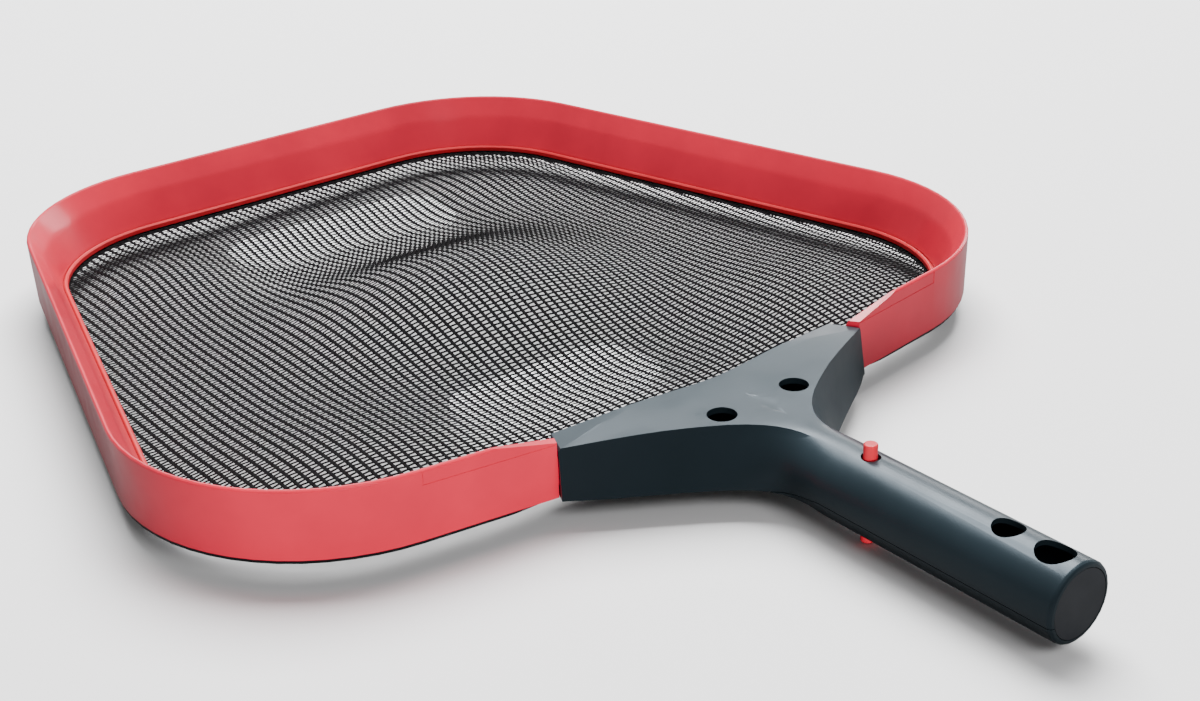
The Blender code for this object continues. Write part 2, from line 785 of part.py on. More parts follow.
def arm_facets(obj):
    """A flat triangle on each arm, falling from the plate to the arm's rear corner."""
    for side in (-1, 1):
        front = np.array([side * ARM_END, ARM_FRONT_Y, PLATE_Z - plate_fall(ARM_END)])
        inner = np.array([side * ARM_FACET_X, rear_edge(ARM_FACET_X),
                          PLATE_Z - plate_fall(ARM_FACET_X)])
        rear = np.array([side * REAR_END_X, REAR_END_Y,
                         PLATE_Z - plate_fall(REAR_END_X) - ARM_FACET_DROP])
        u, v = inner - front, rear - front
        n = np.cross(u, v)
        n = n / np.linalg.norm(n) * np.sign(n[2])
        far = [front - u * 0.6, inner + u * 0.6, inner + u * 0.6 + v * 3, front - u * 0.6 + v * 3]
        points = [tuple(p) for p in far] + [tuple(p + n * 20.0) for p in far]
        faces = [[0, 1, 2, 3], [4, 5, 6, 7], [0, 1, 5, 4], [1, 2, 6, 5], [2, 3, 7, 6],
                 [3, 0, 4, 7]]
        cut(obj, make("facet", points, faces))


def yoke_upper(mat):
    body = outer_body("yoke_upper_shell")
    cut(body, rear_prism("rear", 0.0))
    arm_ends(body)
    cut(body, below_parting("part", FIT))
    hollow = cavity("hollow")
    cut(hollow, rear_prism("rear", YOKE_WALL))
    keep(hollow, between_ends("ends", -YOKE_WALL, -40, 90))
    # the hollow is open downwards in the yoke
    open_low = prism("open", opening_outline(0.0), FOOT_Z - 3.0,
                     FOOT_Z + COVER_LIFT + COVER_T + GAP)
    join(hollow, open_low)
    cut(body, hollow)
    # bosses for the screws, the rib that the clip hooks on, and two stiffening ribs
    for side in (-1, 1):
        for x, y in ARM_SCREWS:
            join(body, rod("boss", (side * x, y), ARM_BOSS_R,
                           FOOT_Z + TONGUE_H + TONGUE_T + GAP, arm_boss_top(x), n=14))
    join(body, rod("boss", COVER_SCREW, ARM_BOSS_R, FOOT_Z + COVER_LIFT + COVER_T + GAP,
                   PLATE_Z - 1.0, n=14))
    join(body, rod("boss", HANDLE_SCREW, ARM_BOSS_R, AXIS_Z - PART_DROP - 5.0,
                   AXIS_Z + TUBE_R - 1.0, n=14))
    for side in (-1, 1):
        near, far = side * RIB_HALF, side * (RIB_HALF + HANGER_T)
        join(body, box("hanger", (min(near, far), RIB_Y - 4.5, AXIS_Z - RIB_R - 0.7),
                       (max(near, far), RIB_Y + 3.5, PLATE_Z - 1.0)))
    reach = RIB_HALF + HANGER_T - 0.4
    join(body, rod("rib", (RIB_Y, AXIS_Z), RIB_R, -reach, reach, "x", 16))
    # openings
    for side in (-1, 1):
        cut(body, rod("hole", (side * BIG_HOLE_X, BIG_HOLE_Y), BIG_HOLE_R, PLATE_Z - 8,
                      PLATE_Z + 5, n=26))
        # socket mouth for the rim's tongue
        cut(body, prism("mouth", tongue_outline(side, MOUTH_X, 0.35), FOOT_Z + TONGUE_H - GAP,
                        FOOT_Z + TONGUE_H + TONGUE_T + GAP))
        for x, y in ARM_SCREWS:
            cut(body, rod("pilot", (side * x, y), SCREW_R + 0.12, FOOT_Z,
                          arm_boss_top(x) - 0.4, n=12))
    for y, r in END_HOLES:
        cut(body, rod("hole", (0, y), r, AXIS_Z, AXIS_Z + 30, n=26))
    cut(body, rod("hole", (0, PIN_Y), PIN_HOLE_R, AXIS_Z, AXIS_Z + 30, n=26))
    cut(body, rod("pilot", COVER_SCREW, SCREW_R + 0.12, FOOT_Z, PLATE_Z - 2.2, n=12))
    cut(body, rod("pilot", HANDLE_SCREW, SCREW_R + 0.12, 0, AXIS_Z + TUBE_R - 2.4, n=12))
    arm_facets(body)
    # the shallow leaf-shaped dip in the plate
    cut(body, leaf_dip("dip"))
    body.data.materials.clear()
    body.data.materials.append(mat)
    return body


COVER_SCREW = (0.0, -97.9)
HANDLE_SCREW = (0.0, -200.0)


def leaf_dip(name):
    """A flat lens whose lower half presses 0.4 mm into the plate."""
    n = 10
    y0, y1 = -105.5, -131.0
    points = [(0, y0, PLATE_Z + 0.3), (0, y1, PLATE_Z + 0.3)]
    faces = []
    for i in range(1, n):
        t = i / n
        y = y0 + (y1 - y0) * t
        w = 4.2 * math.sin(math.pi * t)
        d = 0.45 * math.sin(math.pi * t)
        points += [(w, y, PLATE_Z + 0.3), (0, y, PLATE_Z - d), (-w, y, PLATE_Z + 0.3)]
    for i in range(n - 2):
        a, b = 2 + 3 * i, 2 + 3 * (i + 1)
        faces += [[a, b, b + 1, a + 1], [a + 1, b + 1, b + 2, a + 2], [a + 2, b + 2, b, a]]
    faces += [[0, 2, 3], [0, 3, 4], [0, 4, 2]]
    e = 2 + 3 * (n - 2)
    faces += [[1, e + 1, e], [1, e + 2, e + 1], [1, e, e + 2]]
    return make(name, points, faces)


def lower_shell(mat):
    body = outer_body("handle_lower_shell")
    cut(body, rear_prism("rear", 0.0))
    keep(body, below_parting("part", -FIT))
    hollow = cavity("hollow")
    cut(body, hollow)
    join(body, cover_plate("cover"))
    cut(body, rod("hole", (0, PIN_Y), PIN_HOLE_R, -5, AXIS_Z, n=26))
    for x, y in screw_places():
        z = FOOT_Z + COVER_LIFT if y > -150 else AXIS_Z - TUBE_R
        cut(body, rod("clear", (x, y), SCREW_R + 0.2, z - 5, z + 8, n=12))
        if y > -150:
            cut(body, rod("sink", (x, y), SCREW_HEAD_R + 0.25, z - 5, z + SCREW_HEAD_T + 0.1,
                          n=16))
    body.data.materials.clear()
    body.data.materials.append(mat)
    return body


def opening_outline(clear):
    """The opening under the yoke, or the cover that fills it with this clearance."""
    inset = YOKE_WALL + 1.0 + clear
    back = REAR_END_Y - YOKE_WALL - clear
    widest = arm_line(back, -YOKE_WALL - clear)
    edge = []
    for i in range(13):
        x = -widest + 2 * widest * i / 12
        edge.append((x, rear_edge(x) - YOKE_WALL - clear))
    right = []
    for y in COVER_Y:
        slope = (plan(FOOT_PLAN, y + 1.5) - plan(FOOT_PLAN, y - 1.5)) / 3.0
        half = plan(FOOT_PLAN, y) - inset * math.sqrt(1 + slope * slope)
        right.append((min(arm_line(y, -YOKE_WALL - clear), half), y))
    right[-1] = (right[-1][0], right[-1][1] + clear * 4)
    return edge + right + [(-x, y) for x, y in right[::-1]]


def cover_plate(name):
    z = FOOT_Z + COVER_LIFT
    return prism(name, opening_outline(GAP), z, z + COVER_T)


def end_plug(mat):
    r = TUBE_R - TUBE_WALL - 0.25
    y = END_Y + 0.1
    plug = rod("end_plug", (0, AXIS_Z), r, y, y + PLUG_T, "y", 34)
    leg = rod("leg", (0, AXIS_Z), r - 0.1, y + PLUG_T - 0.5, y + PLUG_T + PLUG_LEG, "y", 34)
    cut(leg, rod("bore", (0, AXIS_Z), r - 2.0, y, y + 40, "y", 34))
    cut(leg, box("half", (-30, -300, AXIS_Z - 1.0), (30, 0, AXIS_Z + 40)))
    join(plug, leg)
    plug.data.materials.clear()
    plug.data.materials.append(mat)
    return plug


def screw_places():
    out = []
    for side in (-1, 1):
        out += [(side * x, y) for x, y in ARM_SCREWS]
    return out + [COVER_SCREW, HANDLE_SCREW]


def screw(name, at, mat):
    if at[1] > -150:
        z = FOOT_Z + COVER_LIFT
        top = arm_boss_top(at[0]) - 1.0 if at[0] else FOOT_Z + 15.0
    else:
        z = AXIS_Z - TUBE_R - 0.4
        top = AXIS_Z + 6.0
    profile = [(SCREW_HEAD_R - 0.4, z), (SCREW_HEAD_R, z + 0.4),
               (SCREW_HEAD_R, z + SCREW_HEAD_T - 0.25), (SCREW_R, z + SCREW_HEAD_T - 0.2),
               (SCREW_R, top - 0.8), (SCREW_R * 0.4, top)]
    if at[1] < -150:
        profile = [(SCREW_HEAD_R - 0.4, z - SCREW_HEAD_T), (SCREW_HEAD_R, z - SCREW_HEAD_T + 0.4),
                   (SCREW_HEAD_R, z - 0.3), (SCREW_R, z - 0.25),
                   (SCREW_R, top - 0.8), (SCREW_R * 0.4, top)]
    return turned(name, at, profile, 12, mat)


def ring_screw(name, at, mat):
    z = BASE_TOP - BASE_T
    profile = [(RING_HEAD_R - 0.3, z - RING_HEAD_T - GAP), (RING_HEAD_R, z - RING_HEAD_T),
               (RING_HEAD_R, z - GAP - 0.05), (RING_SCREW_R, z - GAP),
               (RING_SCREW_R, z + 9.0), (RING_SCREW_R * 0.4, z + 9.8)]
    return turned(name, at, profile, 8, mat)


# ------------------------------------------------------------------ clip and pins


def leaf(name, side, mat):
    """Half of the V-shaped spring: a hook round the rib, a sloping leg and a flat pad."""
    r0 = RIB_R + GAP
    centre = []
    for i in range(7):
        a = math.radians(3.5 + 86.5 * i / 6)
        centre.append((RIB_Y + (r0 + LEAF_T / 2) * math.cos(a), (r0 + LEAF_T / 2) * math.sin(a)))
    pad = PAD_LOW + LEAF_T / 2
    centre += [(RIB_Y - 8.0, r0 + LEAF_T / 2 + 0.15), (RIB_Y - 34.0, r0 + LEAF_T / 2 + 1.2),
               (PIN_Y + 10.0, pad - 1.2), (PIN_Y + 6.0, pad), (PIN_Y - 6.0, pad),
               (PIN_Y - 8.0, pad - 0.7)]
    up, down = [], []
    for i, (y, z) in enumerate(centre):
        a = centre[max(0, i - 1)]
        b = centre[min(len(centre) - 1, i + 1)]
        d = np.array([b[0] - a[0], b[1] - a[1]])
        d = d / np.linalg.norm(d)
        n = np.array([-d[1], d[0]]) * LEAF_T / 2
        up.append((y + n[0], z + n[1]))
        down.append((y - n[0], z - n[1]))
    outline = up + down[::-1]
    outline = [(y, AXIS_Z + side * z) for y, z in outline]
    return prism_mat(name, outline, -LEAF_HALF, LEAF_HALF, mat)


def prism_mat(name, outline, low, high, mat):
    obj = prism(name, outline, low, high, "x")
    obj.data.materials.append(mat)
    return obj


def lock_pin(name, side, mat):
    low = PAD_LOW + LEAF_T + GAP
    profile = [(FLANGE_R, low), (FLANGE_R, low + FLANGE_T), (PIN_R, low + FLANGE_T),
               (PIN_R, PIN_REACH - 0.5), (PIN_R - 0.15, PIN_REACH - 0.2),
               (PIN_R - 0.5, PIN_REACH)]
    obj = turned(name, (0.0, 0.0), [(r, z * side) for r, z in profile], 22, mat)
    obj.location = (0.0, (PIN_Y + PIN_EASE) * MM, AXIS_Z * MM)
    return obj


def main():
    clear_scene()
    red = (0.62, 0.055, 0.06)
    slate = (0.07, 0.11, 0.14)
    rim_frame(material("rim_red", red, 0.38))
    net_clamp_ring(material("clamp_red", (0.72, 0.10, 0.11), 0.35))
    net_base_ring(material("base_black", (0.01, 0.01, 0.012), 0.5))
    net(material("net_black", (0.012, 0.012, 0.013), 0.55))
    patch("net_patch_front", 0.0, FRONT_PATCH_Y, FRONT_PATCH_W, FRONT_PATCH_L, FRONT_PATCH_R,
          material("patch_front_pale", (0.75, 0.76, 0.77), 0.6))
    patch("net_patch_rear", REAR_PATCH_X, REAR_PATCH_Y, REAR_PATCH_W, REAR_PATCH_L, REAR_PATCH_R,
          material("patch_rear_pale", (0.75, 0.76, 0.77), 0.6))
    yoke_upper(material("yoke_slate", slate, 0.42))
    lower_shell(material("lower_slate", (0.055, 0.085, 0.10), 0.45))
    end_plug(material("plug_grey", (0.06, 0.065, 0.08), 0.5))
    leaf("clip_leaf_top", 1, material("leaf_steel_top", (0.5, 0.5, 0.52), 0.3, 1.0))
    leaf("clip_leaf_bottom", -1, material("leaf_steel_bottom", (0.5, 0.5, 0.52), 0.3, 1.0))
    lock_pin("lock_pin_top", 1, material("pin_red_top", (0.70, 0.07, 0.09), 0.35))
    lock_pin("lock_pin_bottom", -1, material("pin_red_bottom", (0.70, 0.07, 0.09), 0.35))
    steel = (0.45, 0.46, 0.48)
    names = ("arm_screw_1", "arm_screw_2", "arm_screw_3", "arm_screw_4",
             "cover_screw", "handle_screw")
    for name, at in zip(names, screw_places()):
        screw(name, at, material(name + "_steel", steel, 0.3, 1.0))
    for i, at in enumerate(place_on_rim(RING_SCREW_AT, RING_BOSS_IN)):
        ring_screw(f"ring_screw_{i + 1}", at, material(f"ring_screw_{i + 1}_steel", steel, 0.3, 1.0))


main()
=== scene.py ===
"""The looks of the leaf skimmer head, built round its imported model.

The frame is the model's: +X across the net, +Y from the handle to the leading edge, +Z up out of
the net's open side. The net and its films are in millimetres. The camera, the floor and the lamps
are in metres, and the scale of a noise is in waves per metre.
"""

import math

import bpy
import numpy as np
from mathutils import Matrix, Vector


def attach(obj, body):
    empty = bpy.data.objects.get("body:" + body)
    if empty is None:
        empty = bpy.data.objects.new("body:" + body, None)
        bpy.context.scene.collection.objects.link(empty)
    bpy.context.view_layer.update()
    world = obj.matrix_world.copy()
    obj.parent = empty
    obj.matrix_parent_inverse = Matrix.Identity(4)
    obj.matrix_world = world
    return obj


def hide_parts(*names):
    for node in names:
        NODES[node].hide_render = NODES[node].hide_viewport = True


MM = 0.001

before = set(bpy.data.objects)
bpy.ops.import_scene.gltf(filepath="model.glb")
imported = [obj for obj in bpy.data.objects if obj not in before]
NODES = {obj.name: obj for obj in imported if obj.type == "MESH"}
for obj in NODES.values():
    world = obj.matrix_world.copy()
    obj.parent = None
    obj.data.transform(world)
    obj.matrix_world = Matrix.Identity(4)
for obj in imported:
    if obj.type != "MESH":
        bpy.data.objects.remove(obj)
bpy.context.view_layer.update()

# ------------------------------------------------------------------ camera

# The camera that fits the outline, the holes and the pins of the photo: its place, the direction
# to the picture's right, and the direction out of the picture to the viewer.
CAMERA_AT = (-0.3754, -0.5217, 0.3210)
CAMERA_RIGHT = (0.7887, -0.6137, -0.0354)
CAMERA_BACK = (-0.5407, -0.7199, 0.4352)
PHOTO_WIDTH_PIXELS = 1200.0
FOCAL_LENGTH_PIXELS = 1743.9
SENSOR_WIDTH_MM = 36.0
CLIP_START = 0.01


def camera():
    """The photo's camera, with the picture's up direction square to its view."""
    right = Vector(CAMERA_RIGHT).normalized()
    back = Vector(CAMERA_BACK).normalized()
    up = back.cross(right).normalized()
    right = up.cross(back)
    data = bpy.data.cameras.new("camera")
    data.sensor_fit = "HORIZONTAL"
    data.sensor_width = SENSOR_WIDTH_MM
    data.lens = FOCAL_LENGTH_PIXELS / PHOTO_WIDTH_PIXELS * SENSOR_WIDTH_MM
    data.clip_start = CLIP_START
    turned = Matrix((right, up, back)).transposed()
    obj = bpy.data.objects.new("camera", data)
    obj.matrix_world = Matrix.Translation(Vector(CAMERA_AT)) @ turned.to_4x4()
    bpy.context.scene.collection.objects.link(obj)
    bpy.context.scene.camera = obj


# ------------------------------------------------------------------ materials

RIM_RED = (0.52, 0.011, 0.034)
CLAMP_RED = (0.45, 0.014, 0.022)
PIN_RED = (0.45, 0.014, 0.026)
SLATE = (0.0135, 0.0220, 0.0275)
SLATE_SHEEN = (0.72, 0.87, 1.0, 1.0)
# The end plug's grey is paler than the slate: painted light on the handle's end face.
PLUG_GREY = (0.020, 0.023, 0.029)
BASE_BLACK = (0.010, 0.010, 0.012)
NET_BLACK = (0.0035, 0.0035, 0.004)
STEEL_GREY = (0.52, 0.53, 0.55)
FILM_WHITE = (0.90, 0.90, 0.91)

# Waves per metre of the plastics' flow marks and gloss, the net's fibres and the steel's brushing.
FLOW_SCALE = 22.0
GLOSS_SCALE = 60.0
GLOSS_SPREAD = 0.12
FIBRE_SCALE = 900.0
BRUSH_SCALE = 700.0

# A noise lies mostly between these values, so they are spread over the whole range.
NOISE_LOW = 0.3
NOISE_HIGH = 0.7


def shader(name, color, rough):
    """A material with one Principled shader, its tree and that shader."""
    mat = bpy.data.materials.new(name)
    mat.use_nodes = True
    principled = mat.node_tree.nodes["Principled BSDF"]
    principled.inputs["Base Color"].default_value = (*color, 1.0)
    principled.inputs["Roughness"].default_value = rough
    mat.diffuse_color = (*color, 1.0)
    return mat, mat.node_tree, principled


def object_space(tree):
    """Coordinates that stay with the piece."""
    return tree.nodes.new("ShaderNodeTexCoord").outputs["Object"]


def noise(tree, coords, scale, detail=3.0, rough=0.55):
    """A noise of so many waves per metre."""
    node = tree.nodes.new("ShaderNodeTexNoise")
    node.inputs["Scale"].default_value = scale
    node.inputs["Detail"].default_value = detail
    node.inputs["Roughness"].default_value = rough
    tree.links.new(coords, node.inputs["Vector"])
    return node.outputs["Fac"]


def color_between(tree, value, dark, light, high=NOISE_HIGH):
    """A colour that goes from dark to light as a noise rises."""
    node = tree.nodes.new("ShaderNodeValToRGB")
    first, last = node.color_ramp.elements
    first.position = NOISE_LOW
    first.color = (*dark, 1.0)
    last.position = high
    last.color = (*light, 1.0)
    tree.links.new(value, node.inputs["Fac"])
    return node.outputs["Color"]


def number_between(tree, value, least, most):
    """A number that goes from least to most as a noise rises."""
    node = tree.nodes.new("ShaderNodeMapRange")
    node.inputs["From Min"].default_value = NOISE_LOW
    node.inputs["From Max"].default_value = NOISE_HIGH
    node.inputs["To Min"].default_value = least
    node.inputs["To Max"].default_value = most
    tree.links.new(value, node.inputs["Value"])
    return node.outputs["Result"]


def bumped(tree, principled, height, strength, depth):
    """A fine relief, depth millimetres high, on a material."""
    node = tree.nodes.new("ShaderNodeBump")
    node.inputs["Strength"].default_value = strength
    node.inputs["Distance"].default_value = depth * MM
    tree.links.new(height, node.inputs["Height"])
    tree.links.new(node.outputs["Normal"], principled.inputs["Normal"])


def shade(color, factor):
    """A colour times a factor."""
    return tuple(min(1.0, part * factor) for part in color)


def moulded(name, color, rough, grain=1400.0, depth=0.02, coat=0.0, spread=0.12):
    """Injection-moulded plastic: a fine spark grain, faint flow mottling and uneven gloss."""
    mat, tree, principled = shader(name, color, rough)
    principled.inputs["Specular IOR Level"].default_value = 0.3
    principled.inputs["Coat Weight"].default_value = coat
    principled.inputs["Coat Roughness"].default_value = 0.16
    coords = object_space(tree)
    flow = noise(tree, coords, FLOW_SCALE, detail=4.0)
    mottled = color_between(tree, flow, shade(color, 1 - spread), shade(color, 1 + spread))
    tree.links.new(mottled, principled.inputs["Base Color"])
    patches = noise(tree, coords, GLOSS_SCALE)
    gloss = number_between(tree, patches, rough * (1 - GLOSS_SPREAD), rough * (1 + GLOSS_SPREAD))
    tree.links.new(gloss, principled.inputs["Roughness"])
    bumped(tree, principled, noise(tree, coords, grain, detail=2.0), strength=0.35, depth=depth)
    return mat


def strand(name, color):
    """Dull black filament, with paler and rougher spots along its fibres."""
    mat, tree, principled = shader(name, color, rough=0.85)
    principled.inputs["Specular IOR Level"].default_value = 0.04
    fibre = noise(tree, object_space(tree), FIBRE_SCALE)
    worn = color_between(tree, fibre, shade(color, 0.6), shade(color, 2.2), high=0.75)
    tree.links.new(worn, principled.inputs["Base Color"])
    dull = number_between(tree, fibre, least=0.78, most=0.95)
    tree.links.new(dull, principled.inputs["Roughness"])
    bumped(tree, principled, fibre, strength=0.4, depth=0.04)
    return mat


def steel(name):
    """Plain bright steel of the clip and the screws."""
    mat, tree, principled = shader(name, STEEL_GREY, rough=0.28)
    principled.inputs["Metallic"].default_value = 1.0
    brushed = noise(tree, object_space(tree), BRUSH_SCALE)
    gloss = number_between(tree, brushed, least=0.2, most=0.4)
    tree.links.new(gloss, principled.inputs["Roughness"])
    bumped(tree, principled, brushed, strength=0.2, depth=0.01)
    return mat


def dress():
    """A material for every node of the CAD model."""
    coarse = {"grain": 1100.0, "depth": 0.03}
    slate = moulded("slate_plastic", SLATE, rough=0.32, **coarse)
    # The handle's lower shell gets the slate 8% darker: painted shade of the handle's underside.
    lower = moulded("slate_plastic_painted_shade", shade(SLATE, 0.92), rough=0.34, **coarse)
    for mat in (slate, lower):
        mat.node_tree.nodes["Principled BSDF"].inputs["Specular Tint"].default_value = SLATE_SHEEN
    pin = moulded("pin_plastic", PIN_RED, rough=0.3)
    plastic = {
        "rim_frame": moulded("rim_plastic", RIM_RED, rough=0.38, coat=0.45),
        "net_clamp_ring": moulded("clamp_plastic", CLAMP_RED, rough=0.35),
        "net_base_ring": moulded("base_plastic", BASE_BLACK, rough=0.5),
        "yoke_upper_shell": slate,
        "handle_lower_shell": lower,
        "end_plug": moulded("plug_plastic_painted_light", PLUG_GREY, rough=0.5),
        "lock_pin_top": pin,
        "lock_pin_bottom": pin,
    }
    metal = steel("plain_steel")
    for name, node in NODES.items():
        node.data.materials.clear()
        node.data.materials.append(plastic.get(name, metal))


# ------------------------------------------------------------------ shading of round faces

# Faces that meet at less than these angles, in degrees, are shaded as one round face.
ROUND_BELOW = {
    "rim_frame": 16,
    "net_clamp_ring": 28,
    "net_base_ring": 28,
    "yoke_upper_shell": 24,
    "handle_lower_shell": 24,
    "end_plug": 28,
    "lock_pin_top": 40,
    "lock_pin_bottom": 40,
}
# Points closer than this, in metres, are one point.
SAME_SPOT = 2e-6
# Keeps a length that is divided by above zero.
NEVER_ZERO = 1e-12


def mesh_values(items, key, width, kind):
    """One value, or one row of them, for each item of a mesh."""
    values = np.empty(len(items) * width, kind)
    items.foreach_get(key, values)
    return values.reshape(-1, width) if width > 1 else values


def round_shading(node, angle):
    """Smooth shading normals over gentle facets. The points and faces stay as they are."""
    mesh = node.data
    corners = len(mesh.loops)
    spots = np.round(mesh_values(mesh.vertices, "co", 3, float) / SAME_SPOT).astype(np.int64)
    _, spot_of = np.unique(spots, axis=0, return_inverse=True)
    spot = spot_of.reshape(-1)[mesh_values(mesh.loops, "vertex_index", 1, np.int32)]
    normal = mesh_values(mesh.polygons, "normal", 3, float)
    size = mesh_values(mesh.polygons, "area", 1, float)
    sides = mesh_values(mesh.polygons, "loop_total", 1, np.int32)
    face = np.repeat(np.arange(len(mesh.polygons)), sides)
    order = np.argsort(spot, kind="stable")
    starts = np.flatnonzero(np.diff(np.concatenate([[-1], spot[order]])))
    ends = np.append(starts[1:], corners)
    limit = math.cos(math.radians(angle))
    shading = np.empty((corners, 3))
    for start, end in zip(starts, ends):
        here = order[start:end]
        faces = face[here]
        alike = normal[faces] @ normal[faces].T > limit
        mixed = alike @ (normal[faces] * size[faces][:, None])
        shading[here] = mixed / (np.linalg.norm(mixed, axis=1)[:, None] + NEVER_ZERO)
    mesh.polygons.foreach_set("use_smooth", np.ones(len(mesh.polygons), bool))
    mesh.normals_split_custom_set(shading.tolist())


# ------------------------------------------------------------------ form of the net

# The left half of the rings' outline: corner points and the radii that round them.
LEFT_CORNERS = ((-90.0, -89.8, 40.0), (-211.9, -72.8, 80.8), (-132.2, 257.5, 78.3))
RIGHT_CORNERS = tuple((-x, y, radius) for x, y, radius in reversed(LEFT_CORNERS))
CORNERS = LEFT_CORNERS + RIGHT_CORNERS
# Degrees of arc from one point of the outline to the next.
ARC_STEP = 3.0
# How far inside the outline the bead and the middle of the hem run.
BEAD_INSET = 14.2
HEM_INSET = 11.4

# The level of the cloth where the rings clamp it.
NET_Z = 11.3

# The slack: middle x and y, spread along and across, turn in degrees, and height. A fold with its
# middle off the centre line has a twin on the other side.
FOLDS = (
    (0.0, -50.0, 56.0, 30.0, 0.0, 20.3),
    (0.0, 177.0, 30.0, 16.0, 0.0, -6.5),
    (0.0, -44.0, 71.0, 46.0, 0.0, -24.6),
    (75.0, 191.0, 35.0, 24.0, -24.0, 7.6),
    (105.0, -22.0, 39.0, 34.0, -5.0, 10.6),
    (29.0, 85.0, 34.0, 53.0, -11.0, 13.6),
    (9.0, 133.0, 26.0, 70.0, 75.0, -4.5),
    (51.0, 186.0, 19.0, 31.0, -21.0, -6.8),
)
# The folds start this far inside the bead, and grow to their full height over this width.
FOLDS_START = 1.0
FOLDS_GROW = 20.0


def ring_line(inset):
    """The outline of the rings, moved inwards, clockwise from above."""
    points = [np.array(corner[:2]) for corner in CORNERS]
    line = []
    for i, (_, _, radius) in enumerate(CORNERS):
        here = points[i]
        back = points[i - 1] - here
        back /= np.linalg.norm(back)
        ahead = points[(i + 1) % len(points)] - here
        ahead /= np.linalg.norm(ahead)
        half = math.acos(float(back @ ahead)) / 2
        reach = radius / math.tan(half)
        centre = here + (back + ahead) / np.linalg.norm(back + ahead) * radius / math.sin(half)
        first = here + back * reach - centre
        last = here + ahead * reach - centre
        start = math.atan2(first[1], first[0])
        turn = (math.atan2(last[1], last[0]) - start + math.pi) % (2 * math.pi) - math.pi
        count = max(2, round(abs(math.degrees(turn)) / ARC_STEP))
        for step in range(count + 1):
            angle = start + turn * step / count
            line.append(centre + (radius - inset) * np.array([math.cos(angle), math.sin(angle)]))
    return np.array(line)


BEAD = ring_line(BEAD_INSET)


def edge_distance(x, y):
    """Distance inwards from the bead for arrays of points, negative outside it."""
    side = np.roll(BEAD, -1, axis=0) - BEAD
    from_x = x[..., None] - BEAD[:, 0]
    from_y = y[..., None] - BEAD[:, 1]
    along = np.clip((from_x * side[:, 0] + from_y * side[:, 1]) / (side ** 2).sum(1), 0, 1)
    off_x = from_x - side[:, 0] * along
    off_y = from_y - side[:, 1] * along
    squared = off_x * off_x + off_y * off_y
    near = squared.argmin(-1)
    distance = np.sqrt(np.take_along_axis(squared, near[..., None], -1)[..., 0])
    turn = side[near, 0] * (y - BEAD[near, 1]) - side[near, 1] * (x - BEAD[near, 0])
    return np.where(turn < 0, distance, -distance)


def height(x, y):
    """The height of the slack cloth above the floor."""
    folds = np.zeros_like(x)
    for middle_x, middle_y, spread, spread_across, turn, top in FOLDS:
        for side in (1, -1) if middle_x else (1,):
            cos = math.cos(math.radians(turn))
            sin = side * math.sin(math.radians(turn))
            off_x = x - side * middle_x
            off_y = y - middle_y
            along = (off_x * cos + off_y * sin) / spread
            across = (-off_x * sin + off_y * cos) / spread_across
            folds += top * np.exp(-0.5 * (along * along + across * across))
    grown = np.clip((edge_distance(x, y) - FOLDS_START) / FOLDS_GROW, 0, 1)
    return NET_Z + folds * grown * grown * (3 - 2 * grown)


# ------------------------------------------------------------------ net

# Strands along X weave over and under the broader ones along Y. HALF is half the width and half
# the thickness of a strand, and SIDES are those of its section.
ACROSS_PITCH = 2.10
ACROSS_HALF = (0.46, 0.09)
ACROSS_SIDES = 4
ACROSS_ROWS = range(-40, 121)
WEAVE_LIFT = 0.2
ALONG_PITCH = 4.04
ALONG_HALF = (0.76, 0.14)
ALONG_SIDES = 6
ALONG_COLUMNS = range(-48, 49)
ALONG_STEP = ACROSS_PITCH * 2
ALONG_FROM = -80.0
ALONG_TO = 246.0

# Strands end this far outside the bead, where the rings clamp them. A shorter run is left out.
TUCKED_IN = 2.4
FEWEST_POINTS = 3
# The cloth's slope is measured this far to both sides of a point.
SLOPE_STEP = 0.5

# Half the width and half the thickness of the hem.
HEM_HALF = (2.0, 0.28)


def mesh_object(name, points, faces, mat, smooth=True):
    """A piece from points in millimetres and lists of corner numbers."""
    mesh = bpy.data.meshes.new(name)
    mesh.from_pydata((np.asarray(points) * MM).tolist(), [], faces)
    mesh.update()
    if smooth:
        mesh.polygons.foreach_set("use_smooth", np.ones(len(mesh.polygons), bool))
    obj = bpy.data.objects.new(name, mesh)
    obj.data.materials.append(mat)
    bpy.context.scene.collection.objects.link(obj)
    return obj


def unit(rows):
    """Rows of directions, each of length one."""
    return rows / np.linalg.norm(rows, axis=1)[:, None]


def tape_mesh(strands, half, sides, base=0):
    """Closed flat strands that lie in the cloth.

    A strand is its line of points and, for each point, the direction across it in the cloth.
    The numbering of the points starts at base.
    """
    angle = 2 * math.pi * (np.arange(sides) + 0.5) / sides
    wide = half[0] / np.abs(np.cos(angle)).max() * np.cos(angle)
    thick = half[1] / np.abs(np.sin(angle)).max() * np.sin(angle)
    corner = np.arange(sides)[None, :]
    after = (corner + 1) % sides
    points, faces = [], []
    for line, across in strands:
        tangent = unit(np.gradient(line, axis=0))
        over = unit(np.cross(across, tangent))
        side = np.cross(tangent, over)
        rings = (line[:, None, :] + wide[None, :, None] * side[:, None, :]
                 + thick[None, :, None] * over[:, None, :])
        points.append(rings.reshape(-1, 3))
        ring = base + np.arange(len(line) - 1)[:, None] * sides
        quads = [ring + corner, ring + sides + corner, ring + sides + after, ring + after]
        faces += np.stack(quads, -1).reshape(-1, 4).tolist()
        last = base + (len(line) - 1) * sides
        faces += [list(range(base, base + sides))[::-1], list(range(last, last + sides))]
        base += len(line) * sides
    return np.concatenate(points), faces


